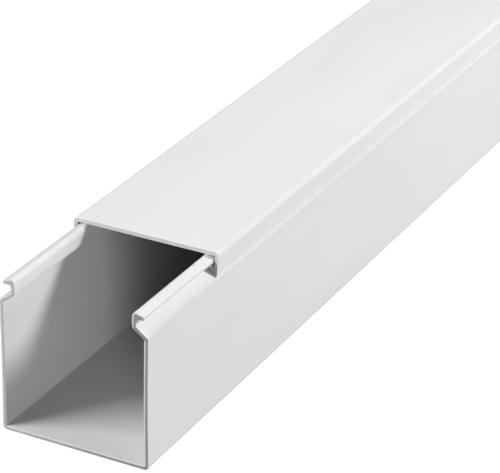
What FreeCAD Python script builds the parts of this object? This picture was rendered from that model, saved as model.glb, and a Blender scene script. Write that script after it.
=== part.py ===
# Cable trunking: an open channel and the clip-on lid that slides on its two hooked lips.
# Millimetres. The channel runs along Y, its back lies on Z = 0 and its front end faces -Y.
# The origin is the centre of the channel's back face.
import FreeCAD, Part
import math
import os

# Outside sizes, with the lid on
width = 57.0
height = 60.0
length = 1000.0
lid_length = 1000.0
lid_setback = 48.0  # how far the lid is slid back from the channel's front end

# Channel
wall = 1.55
wall_bow = 0.35  # the long walls sag inwards by this much at half their height
back_corner_radius = 1.6
back_inner_radius = 0.5
shoulder_inset = 4.6  # how far the wall steps in above the shoulder
shoulder_rise = 3.5  # height of the sloping step
shoulder_edge_radius = 0.35
neck = 1.5
neck_inner_radius = 0.9
neck_outer_radius = 0.4

# Lip that stands out from the top of the neck, thinner towards its tip
lip_top_angle = math.radians(18)  # fall of its top face towards the tip
lip_crest_radius = 1.5
lip_root_drop = 2.15  # from the crest down to its underside at the neck
lip_root_radius = 0.6
lip_tip_height = 1.45
lip_tip_top_radius = 0.75
lip_tip_bottom_radius = 0.35

# Lid
plate = 1.6
skirt = 1.5  # at the plate
skirt_lean = 0.6  # how far the skirt's outer face leans in towards its foot
skirt_depth = 10.2  # from the top of the lid to the shoulder
lid_corner_radius = 1.6
lid_inner_radius = 0.35
skirt_edge_radius = 0.25
skirt_bend_height = 5.6  # above the shoulder; below it the skirt's inner face leans in too
skirt_bend_radius = 1.0
notch_inset = 2.0  # from the lid's side to the notch between the skirt and the barb
barb_thickness = 1.6
barb_rise = 0.3  # how much more than the shoulder the barb rises to its end
barb_tip_radius = 0.4
notch_radius = 0.3

# Fits
slide_gap = 0.15  # between the lid and each face of the lip or shoulder that it runs on
barb_end_gap = 0.4  # from the end of the barb to the neck

# Heights and slopes that follow from the sizes above
shoulder_z = height - skirt_depth
neck_bottom_z = shoulder_z + shoulder_rise
lip_crest_z = height - plate - slide_gap
shoulder_slope = math.atan2(shoulder_rise, shoulder_inset)


def bow_radius(low, high):
    """Corner radius that turns the shallow bend of a sagging wall into one long arc."""
    half = (high - low) / 2
    arc_share = 0.8  # share of each half of the wall that the arc takes up
    return arc_share * half / math.tan(math.atan2(wall_bow, half))


def rounded_edges(corners):
    """Edges of a closed outline in the XZ plane. Each corner is (x, z, radius)."""
    points = [FreeCAD.Vector(x, 0, z) for x, z, radius in corners]
    joints = []
    for i, (x, z, radius) in enumerate(corners):
        here = points[i]
        back = (points[i - 1] - here).normalize()
        ahead = (points[(i + 1) % len(points)] - here).normalize()
        half_angle = back.getAngle(ahead) / 2
        cut = radius / math.tan(half_angle)
        middle = (back + ahead).normalize()
        to_arc = radius / math.sin(half_angle) - radius
        joints.append((here + back * cut, here + middle * to_arc, here + ahead * cut))
    edges = []
    for i, (start, middle, end) in enumerate(joints):
        edges.append(Part.Arc(start, middle, end).toShape())
        following = joints[(i + 1) % len(joints)][0]
        edges.append(Part.LineSegment(end, following).toShape())
    return edges


def extrusion(half_outline, front, run):
    """Solid of a symmetric section, given by its corners on +X, from Y = front over run."""
    mirrored = [(-x, z, radius) for x, z, radius in reversed(half_outline)]
    wire = Part.Wire(rounded_edges(half_outline + mirrored))
    face = Part.Face(wire)
    face.translate(FreeCAD.Vector(0, front, 0))
    return face.extrude(FreeCAD.Vector(0, run, 0))


def channel_outline():
    """Right half of the channel's section, from the back's outer corner round to its inner one."""
    side = width / 2
    inner_side = side - wall
    neck_outer = side - shoulder_inset
    neck_inner = neck_outer - neck
    # The shoulder's inner face is the outer one moved in by the wall's thickness
    inner_drop = wall / math.cos(shoulder_slope)
    inner_shoulder_z = shoulder_z + wall * math.tan(shoulder_slope) - inner_drop
    neck_inner_bottom_z = neck_bottom_z + neck * math.tan(shoulder_slope) - inner_drop
    # The lip's inner corner stands above the crest by what its rounding takes off
    half_corner = (math.pi / 2 - lip_top_angle) / 2
    lip_corner_z = lip_crest_z + lip_crest_radius * (1 / math.tan(half_corner) - 1)
    lip_tip = side - skirt - slide_gap
    lip_tip_top_z = lip_corner_z - (lip_tip - neck_inner) * math.tan(lip_top_angle)
    return [
        (side, 0, back_corner_radius),
        (side - wall_bow, shoulder_z / 2, bow_radius(0, shoulder_z)),
        (side, shoulder_z, shoulder_edge_radius),
        (neck_outer, neck_bottom_z, neck_outer_radius),
        (neck_outer, lip_crest_z - lip_root_drop, lip_root_radius),
        (lip_tip, lip_tip_top_z - lip_tip_height, lip_tip_bottom_radius),
        (lip_tip, lip_tip_top_z, lip_tip_top_radius),
        (neck_inner, lip_corner_z, lip_crest_radius),
        (neck_inner, neck_inner_bottom_z, neck_inner_radius),
        (inner_side, inner_shoulder_z, shoulder_edge_radius),
        (inner_side - wall_bow, (wall + inner_shoulder_z) / 2, bow_radius(wall, inner_shoulder_z)),
        (inner_side, wall, back_inner_radius),
    ]


def lid_outline():
    """Right half of the lid's section, from its inner corner round the barb to the top."""
    side = width / 2
    skirt_inner = side - skirt
    slope = math.tan(shoulder_slope)
    barb_reach = shoulder_inset - barb_end_gap
    barb_under_z = shoulder_z + slide_gap / math.cos(shoulder_slope)
    barb_over_z = barb_under_z + barb_thickness / math.cos(shoulder_slope)
    return [
        (skirt_inner, height - plate, lid_inner_radius),
        (skirt_inner, shoulder_z + skirt_bend_height, skirt_bend_radius),
        (side - notch_inset, barb_over_z + notch_inset * slope, notch_radius),
        (side - barb_reach, barb_over_z + barb_reach * slope + barb_rise, barb_tip_radius),
        (side - barb_reach, barb_under_z + barb_reach * slope + barb_rise, barb_tip_radius),
        (side - skirt_lean, barb_under_z + skirt_lean * slope, skirt_edge_radius),
        (side, height, lid_corner_radius),
    ]


def channel():
    """The channel: one extruded section."""
    return extrusion(channel_outline(), -length / 2, length)


def lid():
    """The lid: one extruded section, slid back from the channel's front end."""
    return extrusion(lid_outline(), -length / 2 + lid_setback, lid_length)


def write(name, shape):
    """Save one piece as parts/NAME.step and print its facts."""
    os.makedirs("parts", exist_ok=True)
    solid = shape.Solids[0]
    solid.exportStep(os.path.join("parts", name + ".step"))
    box = solid.BoundBox
    print(name, "solids", len(shape.Solids), "valid", solid.isValid(), "cm3", round(solid.Volume / 1000, 2))
    print("  box", [round(v, 3) for v in (box.XMin, box.YMin, box.ZMin, box.XMax, box.YMax, box.ZMax)])


write("channel", channel())
write("lid", lid())
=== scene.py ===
import math

import bmesh
import bpy
from mathutils import Matrix, Vector


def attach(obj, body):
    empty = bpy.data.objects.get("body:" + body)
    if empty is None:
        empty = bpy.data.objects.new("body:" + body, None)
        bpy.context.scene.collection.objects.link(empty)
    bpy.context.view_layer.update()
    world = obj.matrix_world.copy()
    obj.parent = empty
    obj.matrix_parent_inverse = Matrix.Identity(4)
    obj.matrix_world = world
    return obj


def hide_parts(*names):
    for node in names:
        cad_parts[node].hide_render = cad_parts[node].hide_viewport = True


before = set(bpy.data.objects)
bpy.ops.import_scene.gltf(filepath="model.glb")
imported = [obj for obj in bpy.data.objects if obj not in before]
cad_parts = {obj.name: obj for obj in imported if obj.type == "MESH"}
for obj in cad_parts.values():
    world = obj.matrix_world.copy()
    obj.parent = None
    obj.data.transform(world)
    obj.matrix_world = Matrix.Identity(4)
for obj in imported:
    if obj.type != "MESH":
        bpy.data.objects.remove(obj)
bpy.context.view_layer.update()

MM = 0.001

# The section's sizes in millimetres, as in the part's source
width = 57.0
height = 60.0
length = 1000.0
lid_length = 1000.0
lid_setback = 48.0
wall = 1.55
wall_bow = 0.35
back_corner_radius = 1.6
back_inner_radius = 0.5
shoulder_inset = 4.6
shoulder_rise = 3.5
shoulder_edge_radius = 0.35
neck = 1.5
neck_inner_radius = 0.9
neck_outer_radius = 0.4
lip_top_angle = math.radians(18)
lip_crest_radius = 1.5
lip_root_drop = 2.15
lip_root_radius = 0.6
lip_tip_height = 1.45
lip_tip_top_radius = 0.75
lip_tip_bottom_radius = 0.35
plate = 1.6
skirt = 1.5
skirt_lean = 0.6
skirt_depth = 10.2
lid_corner_radius = 1.6
lid_inner_radius = 0.35
skirt_edge_radius = 0.25
skirt_bend_height = 5.6
skirt_bend_radius = 1.0
notch_inset = 2.0
barb_thickness = 1.6
barb_rise = 0.3
barb_tip_radius = 0.4
notch_radius = 0.3
slide_gap = 0.15
barb_end_gap = 0.4

shoulder_z = height - skirt_depth
neck_bottom_z = shoulder_z + shoulder_rise
lip_crest_z = height - plate - slide_gap
shoulder_slope = math.atan2(shoulder_rise, shoulder_inset)

# The thin bevel that the saw leaves round an end
edge_narrow = 0.08  # where the blade goes into the wall
edge_wide = 0.6  # where it comes out
edge_depth = 0.15  # along the length

# How finely the pieces are made
arc_step = 7  # degrees
least_radius = 0.03  # of a rounded corner, and from the end of its arc to the next point
end_zone = 4.0  # a ring of points stands this far from each end
sharp_turn = math.radians(20)  # faces that turn by more than this don't shade into each other

# Material slots, in the order that a piece's materials are added
SKIN, SAWN_END, SAWN_EDGE = 0, 1, 2


def bow_radius(low, high):
    """Corner radius that turns the shallow bend of a sagging wall into one long arc."""
    half = (high - low) / 2
    arc_share = 0.8  # share of each half of the wall that the arc takes up
    return arc_share * half / math.tan(math.atan2(wall_bow, half))


def channel_outline():
    """Right half of the channel's section, from the back's outer corner round to its inner one."""
    side = width / 2
    inner_side = side - wall
    neck_outer = side - shoulder_inset
    neck_inner = neck_outer - neck
    inner_drop = wall / math.cos(shoulder_slope)
    inner_shoulder_z = shoulder_z + wall * math.tan(shoulder_slope) - inner_drop
    neck_inner_bottom_z = neck_bottom_z + neck * math.tan(shoulder_slope) - inner_drop
    half_corner = (math.pi / 2 - lip_top_angle) / 2
    lip_corner_z = lip_crest_z + lip_crest_radius * (1 / math.tan(half_corner) - 1)
    lip_tip = side - skirt - slide_gap
    lip_tip_top_z = lip_corner_z - (lip_tip - neck_inner) * math.tan(lip_top_angle)
    return [
        (side, 0, back_corner_radius),
        (side - wall_bow, shoulder_z / 2, bow_radius(0, shoulder_z)),
        (side, shoulder_z, shoulder_edge_radius),
        (neck_outer, neck_bottom_z, neck_outer_radius),
        (neck_outer, lip_crest_z - lip_root_drop, lip_root_radius),
        (lip_tip, lip_tip_top_z - lip_tip_height, lip_tip_bottom_radius),
        (lip_tip, lip_tip_top_z, lip_tip_top_radius),
        (neck_inner, lip_corner_z, lip_crest_radius),
        (neck_inner, neck_inner_bottom_z, neck_inner_radius),
        (inner_side, inner_shoulder_z, shoulder_edge_radius),
        (inner_side - wall_bow, (wall + inner_shoulder_z) / 2, bow_radius(wall, inner_shoulder_z)),
        (inner_side, wall, back_inner_radius),
    ]


def lid_outline():
    """Right half of the lid's section, from its inner corner round the barb to the top."""
    side = width / 2
    skirt_inner = side - skirt
    slope = math.tan(shoulder_slope)
    barb_reach = shoulder_inset - barb_end_gap
    barb_under_z = shoulder_z + slide_gap / math.cos(shoulder_slope)
    barb_over_z = barb_under_z + barb_thickness / math.cos(shoulder_slope)
    return [
        (skirt_inner, height - plate, lid_inner_radius),
        (skirt_inner, shoulder_z + skirt_bend_height, skirt_bend_radius),
        (side - notch_inset, barb_over_z + notch_inset * slope, notch_radius),
        (side - barb_reach, barb_over_z + barb_reach * slope + barb_rise, barb_tip_radius),
        (side - barb_reach, barb_under_z + barb_reach * slope + barb_rise, barb_tip_radius),
        (side - skirt_lean, barb_under_z + skirt_lean * slope, skirt_edge_radius),
        (side, height, lid_corner_radius),
    ]


def whole(normal):
    """Inset of a side where the section has its full size."""
    return 0.0


def sawn_back(way, narrow_at, wide_at):
    """Insets of a sawn end's sides. way is the way the blade went in X and Z. The bevel is narrow
    on a side whose normal has no more than narrow_at of it, and wide from wide_at up."""

    def inset(normal):
        exit_share = (normal.dot(Vector(way)) - narrow_at) / (wide_at - narrow_at)
        return edge_narrow + (edge_wide - edge_narrow) * min(1, max(0, exit_share))

    return inset


def arc(start, centre, turn):
    """Points from start round centre by turn, which is in radians."""
    steps = max(3, math.ceil(math.degrees(abs(turn)) / arc_step))
    return [centre + Matrix.Rotation(turn * k / steps, 2) @ (start - centre) for k in range(steps + 1)]


def section(half_outline, inset):
    """Closed loop of points in the XZ plane, counterclockwise, with fine arcs. Each side of the
    outline is moved in by inset(outward normal)."""
    mirrored = [(-x, z, radius) for x, z, radius in reversed(half_outline)]
    corners = half_outline + mirrored
    points = [Vector((x, z)) for x, z, radius in corners]
    count = len(corners)
    twice_area = sum(p.x * q.y - q.x * p.y for p, q in zip(points, points[1:] + points[:1]))
    if twice_area < 0:
        points.reverse()
        corners.reverse()
    sides = []
    for i in range(count):
        along = (points[(i + 1) % count] - points[i]).normalized()
        normal = Vector((along.y, -along.x))
        sides.append((normal, inset(normal)))
    loop = []
    for i, (x, z, radius) in enumerate(corners):
        back = (points[i - 1] - points[i]).normalized()
        ahead = (points[(i + 1) % count] - points[i]).normalized()
        half_angle = back.angle(ahead) / 2
        convex = ahead.x * back.y - ahead.y * back.x > 0
        turn_side = 1 if convex else -1
        # The corner moves to where the two sides meet once each has moved in
        (n1, in1), (n2, in2) = sides[i - 1], sides[i]
        shift = Vector((in2 * n1.y - in1 * n2.y, in1 * n2.x - in2 * n1.x))
        corner = points[i] + shift / (n1.x * n2.y - n1.y * n2.x)
        radius = max(radius - turn_side * (in1 + in2) / 2, least_radius)
        cut = radius / math.tan(half_angle)
        start, end = corner + back * cut, corner + ahead * cut
        centre = corner + (back + ahead).normalized() * (radius / math.sin(half_angle))
        # A point just outside each end of the arc keeps the flat sides' shading flat
        loop.append(start + back * least_radius)
        loop.extend(arc(start, centre, turn_side * (math.pi - 2 * half_angle)))
        loop.append(end + ahead * least_radius)
    return loop


def extruded(name, half_outline, front, run, saw, body, node):
    """One extruded piece from Y = front over run. saw gives the insets of its sawn ends' sides."""
    far = front + run
    rings_at = [
        (front, saw),
        (front + edge_depth, whole),
        (front + end_zone, whole),
        (front + run / 2, whole),
        (far - end_zone, whole),
        (far - edge_depth, whole),
        (far, saw),
    ]
    bm = bmesh.new()
    rings = []
    for y, inset in rings_at:
        loop = section(half_outline, inset)
        rings.append([bm.verts.new((p.x * MM, y * MM, p.y * MM)) for p in loop])
    count = len(rings[0])
    for r in range(len(rings) - 1):
        kind = SAWN_EDGE if r in (0, len(rings) - 2) else SKIN
        for i in range(count):
            j = (i + 1) % count
            face = bm.faces.new((rings[r][i], rings[r][j], rings[r + 1][j], rings[r + 1][i]))
            face.material_index = kind
    for ring in (list(reversed(rings[0])), rings[-1]):
        bm.faces.new(ring).material_index = SAWN_END
    bmesh.ops.recalc_face_normals(bm, faces=bm.faces)
    for face in bm.faces:
        face.smooth = True
    for edge in bm.edges:
        if len(edge.link_faces) == 2 and edge.calc_face_angle() > sharp_turn:
            edge.smooth = False
    mesh = bpy.data.meshes.new(name)
    bm.to_mesh(mesh)
    bm.free()
    obj = bpy.data.objects.new(name, mesh)
    bpy.context.scene.collection.objects.link(obj)
    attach(obj, body)
    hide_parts(node)
    return obj


# Materials


class Nodes:
    """Short ways to add and join the nodes of one material. Inputs are given by name, with _ for
    a space."""

    def __init__(self, name, **inputs):
        self.material = bpy.data.materials.new(name)
        self.material.use_nodes = True
        self.tree = self.material.node_tree
        self.shader = self.tree.nodes["Principled BSDF"]
        self.fill(self.shader, inputs)

    def fill(self, node, inputs):
        for key, value in inputs.items():
            node.inputs[key.replace("_", " ")].default_value = value

    def add(self, kind, **inputs):
        node = self.tree.nodes.new("ShaderNode" + kind)
        self.fill(node, inputs)
        return node

    def join(self, source, target):
        self.tree.links.new(source, target)

    def drive(self, **sources):
        """Joins each source to the shader's input of that name."""
        for key, source in sources.items():
            self.join(source, self.shader.inputs[key.replace("_", " ")])

    def place(self):
        """The point's place in the object's own coordinates."""
        return self.add("TexCoord").outputs["Object"]

    def coordinate(self, axis):
        """One of the three numbers of that place."""
        split = self.add("SeparateXYZ")
        self.join(self.place(), split.inputs["Vector"])
        return split.outputs[axis]

    def stretched_noise(self, scale, detail=3.0, roughness=0.55):
        """Noise over the object's own coordinates, with its own scale along each axis."""
        mapping = self.add("Mapping", Scale=scale)
        noise = self.add("TexNoise", Scale=1.0, Detail=detail, Roughness=roughness)
        self.join(self.place(), mapping.inputs["Vector"])
        self.join(mapping.outputs["Vector"], noise.inputs["Vector"])
        return noise.outputs["Fac"]

    def ramp(self, value, dark, light, start=0.35, end=0.65):
        """Grey that goes from dark to light as value goes from start to end."""
        node = self.add("ValToRGB")
        for stop, position, level in zip(node.color_ramp.elements, (start, end), (dark, light)):
            stop.position = position
            stop.color = (level, level, level, 1)
        self.join(value, node.inputs["Fac"])
        return node.outputs["Color"]

    def between(self, value, start, end, low, high):
        """Goes evenly from low to high as value goes from start to end, and no further."""
        node = self.add("MapRange", From_Min=start, From_Max=end, To_Min=low, To_Max=high)
        self.join(value, node.inputs["Value"])
        return node.outputs["Result"]

    def spread(self, value, low, high):
        """Takes the middle of a noise to the range from low to high."""
        return self.between(value, 0.3, 0.7, low, high)

    def vector(self, operation, first, second=None):
        """The operation on first, and on the constant second where it takes two."""
        node = self.add("VectorMath")
        node.operation = operation
        self.join(first, node.inputs[0])
        if second is not None:
            node.inputs[1].default_value = second
        return node.outputs["Value" if operation == "LENGTH" else "Vector"]

    def beside(self, x, z, near, far):
        """1 within near of the lines at X = x and X = -x, Z = z along the length, 0 beyond far.
        All four are in millimetres."""
        offset = self.vector("SUBTRACT", self.vector("ABSOLUTE", self.place()), (x * MM, 0, z * MM))
        across = self.vector("MULTIPLY", offset, (1, 0, 1))
        return self.between(self.vector("LENGTH", across), near * MM, far * MM, 1.0, 0.0)

    def shaded(self, colour, share):
        """Colour times a share."""
        node = self.add("VectorMath")
        node.operation = "SCALE"
        self.join(colour, node.inputs["Vector"])
        self.join(share, node.inputs["Scale"])
        return node.outputs["Vector"]

    def bump(self, value, height, strength, below=None):
        """Relief of that height in millimetres, over the relief below it."""
        node = self.add("Bump", Strength=strength, Distance=height * MM)
        self.join(value, node.inputs["Height"])
        if below is not None:
            self.join(below, node.inputs["Normal"])
        return node.outputs["Normal"]


def pvc(name, light, dark, painted_shade_line, painted_shade_share):
    """Drawn rigid PVC: even white, low gloss, with faint lines along the length. Along one given edge
    it greys to a given share of its colour, which is painted shade."""
    n = Nodes(name, IOR=1.53, Specular_IOR_Level=0.35)
    cloud = n.stretched_noise((22, 5, 22), 2.0)
    streaks = n.stretched_noise((900, 1.5, 900), 3.0)
    grain = n.stretched_noise((1800, 1800, 1800), 2.0)
    # Painted shade along one edge: the colour greys there to the given share
    shade_mask = n.between(n.beside(*painted_shade_line), 0.0, 1.0, 1.0, painted_shade_share)
    n.drive(
        Base_Color=n.shaded(n.ramp(cloud, dark, light), shade_mask),
        Roughness=n.spread(streaks, 0.5, 0.6),
        Normal=n.bump(streaks, 0.03, 0.35, n.bump(grain, 0.02, 0.25)),
    )
    return n.material


def sawn(name, light, dark, shades):
    """A sawn end: matt, a shade darker, with fine saw marks across the wall. Each (axis, start, end,
    share) of shades darkens it further: its colour is whole at start and share of itself at end, in
    millimetres along the axis. Some of these are painted shadow, as on the lid's end down to its barbs."""
    n = Nodes(name, Specular_IOR_Level=0.25)
    marks = n.stretched_noise((260, 60, 1500), 4.0, 0.7)
    colour = n.ramp(marks, dark, light, 0.3, 0.7)
    for axis, start, end, share in shades:
        colour = n.shaded(colour, n.between(n.coordinate(axis), start * MM, end * MM, 1.0, share))
    n.drive(Base_Color=colour, Roughness=n.spread(marks, 0.62, 0.8), Normal=n.bump(marks, 0.08, 0.5))
    return n.material


def sawn_edge(name, light, dark):
    """The thin bevel that the saw leaves round an end, lighter than the end face, in spots."""
    n = Nodes(name, Specular_IOR_Level=0.3)
    spots = n.stretched_noise((700, 700, 700), 3.0, 0.6)
    n.drive(
        Base_Color=n.ramp(spots, dark, light, 0.3, 0.7),
        Roughness=n.spread(spots, 0.5, 0.65),
        Normal=n.bump(spots, 0.06, 0.5),
    )
    return n.material


# Pieces

channel = extruded(
    "channel_profile", channel_outline(), -length / 2, length,
    sawn_back(way=(-0.75, 0.66), narrow_at=0, wide_at=0.77), "base", "channel",
)
lid = extruded(
    "lid_profile", lid_outline(), -length / 2 + lid_setback, lid_length,
    sawn_back(way=(0, -1), narrow_at=0.8, wide_at=1), "cover", "lid",
)

# Lines of painted shade: X, Z, and how far from there the painted shade is full and ends
# Painted shade on the shoulder's edge under the lid's foot, where the skirt cuts off the light
foot_shade_line = (width / 2 - 0.3, shoulder_z + 0.2, 0.5, 0.7)  # where the lid's foot runs
# Painted shade that dims the lid's rounded corner, where its highlight falls
corner_cut = lid_corner_radius * (1 - math.sqrt(0.5))
corner_shade_line = (width / 2 - corner_cut, height - corner_cut, 0.5, 1.3)  # the lid's rounded corner

# Both ends darken from the left wall to the right one. The lid's end also darkens down to its thick
# barbs: a painted shadow of the channel's lip and neck, which stand in front of it.
outside = width / 2 + 0.5
across_channel = ("X", -outside, outside, 0.6)
across_lid = ("X", -outside, outside, 0.95)
# Painted shadow of the lip and neck on the lid's end, darkest at the barbs
painted_lip_shadow = ("Z", 56.2, 54, 0.55)

end_edge = sawn_edge("pvc_sawn_edge", light=0.86, dark=0.74)
finishes = {
    channel: (
        pvc("pvc_channel", light=0.70, dark=0.67, painted_shade_line=foot_shade_line, painted_shade_share=0.9),
        sawn("pvc_sawn_end_channel", light=0.66, dark=0.55, shades=[across_channel]),
    ),
    lid: (
        pvc("pvc_lid", light=0.73, dark=0.70, painted_shade_line=corner_shade_line, painted_shade_share=0.93),
        sawn("pvc_sawn_end_lid", light=0.74, dark=0.66, shades=[across_lid, painted_lip_shadow]),
    ),
}
for obj, (skin, end) in finishes.items():
    for material in (skin, end, end_edge):
        obj.data.materials.append(material)

# Floor


def floor():
    """A white paper floor, 18 m each way, just under the object."""
    reach, z = 9.0, -0.0004
    mesh = bpy.data.meshes.new("floor")
    corners = [(-reach, -reach, z), (reach, -reach, z), (reach, reach, z), (-reach, reach, z)]
    mesh.from_pydata(corners, [], [(0, 1, 2, 3)])
    obj = bpy.data.objects.new("floor", mesh)
    bpy.context.scene.collection.objects.link(obj)
    n = Nodes("floor_paper", Specular_IOR_Level=0.1, Emission_Color=(1, 1, 1, 1), Emission_Strength=0.8)
    grain = n.stretched_noise((60, 60, 60), 4.0)
    n.drive(Base_Color=n.ramp(grain, 0.24, 0.26), Roughness=n.spread(grain, 0.8, 0.9))
    mesh.materials.append(n.material)
    # It shows white, but doesn't light the object from below or reflect in it
    obj.visible_diffuse = False
    obj.visible_glossy = False


floor()

# Light


def area(name, place, aim, size, power):
    """A soft rectangular light that faces aim, in metres and watts."""
    data = bpy.data.lights.new(name, "AREA")
    data.shape = "RECTANGLE"
    data.size, data.size_y = size
    data.energy = power
    obj = bpy.data.objects.new(name, data)
    obj.location = place
    obj.rotation_mode = "QUATERNION"
    obj.rotation_quaternion = (Vector(aim) - Vector(place)).to_track_quat("-Z", "Y")
    obj.visible_camera = False
    bpy.context.scene.collection.objects.link(obj)


def surroundings():
    """White behind the object, and a little even light from all round."""
    world = bpy.data.worlds.new("studio")
    bpy.context.scene.world = world
    world.use_nodes = True
    tree = world.node_tree
    even = tree.nodes["Background"]
    even.inputs["Color"].default_value = (1, 1, 1, 1)
    even.inputs["Strength"].default_value = 0.08
    backdrop = tree.nodes.new("ShaderNodeBackground")
    backdrop.inputs["Color"].default_value = (1, 1, 1, 1)
    rays = tree.nodes.new("ShaderNodeLightPath")
    mix = tree.nodes.new("ShaderNodeMixShader")
    tree.links.new(rays.outputs["Is Camera Ray"], mix.inputs["Fac"])
    tree.links.new(even.outputs["Background"], mix.inputs[1])
    tree.links.new(backdrop.outputs["Background"], mix.inputs[2])
    tree.links.new(mix.outputs["Shader"], tree.nodes["World Output"].inputs["Surface"])


area("key", (1.07, 0.23, 0.80), aim=(0, -0.48, 0.03), size=(0.28, 0.3), power=15)
area("left_front", (-0.90, -1.18, 1.15), aim=(0, -0.48, 0.02), size=(0.75, 0.6), power=20)
area("right_front", (1.10, -2.11, 0.28), aim=(0, -0.48, 0.03), size=(0.35, 0.35), power=10)
area("right_low", (1.30, 0.20, 0.22), aim=(0, 0.1, 0.03), size=(0.6, 0.3), power=5.2)
area("back", (-0.70, 2.00, 0.35), aim=(0, 0.45, 0.03), size=(0.8, 0.3), power=4)
surroundings()
bpy.context.scene.view_settings.view_transform = "Standard"
bpy.context.scene.view_settings.look = "Medium High Contrast"

# Camera


def camera():
    """A long lens at the place that the photographed edges were fitted to."""
    place = Vector((0.3792, -1.1162, 0.4383))
    right = Vector((0.88662, 0.46217, 0.01729))
    down = Vector((0.21888, -0.38639, -0.89599))
    forward = Vector((-0.40742, 0.79819, -0.44375))
    data = bpy.data.cameras.new("camera")
    data.lens = 180
    data.sensor_width = 36
    data.clip_start = 0.05
    data.clip_end = 50
    obj = bpy.data.objects.new("camera", data)
    turn = Matrix((right, -down, -forward)).transposed()
    obj.matrix_world = Matrix.Translation(place) @ turn.to_4x4()
    bpy.context.scene.collection.objects.link(obj)
    bpy.context.scene.camera = obj


camera()
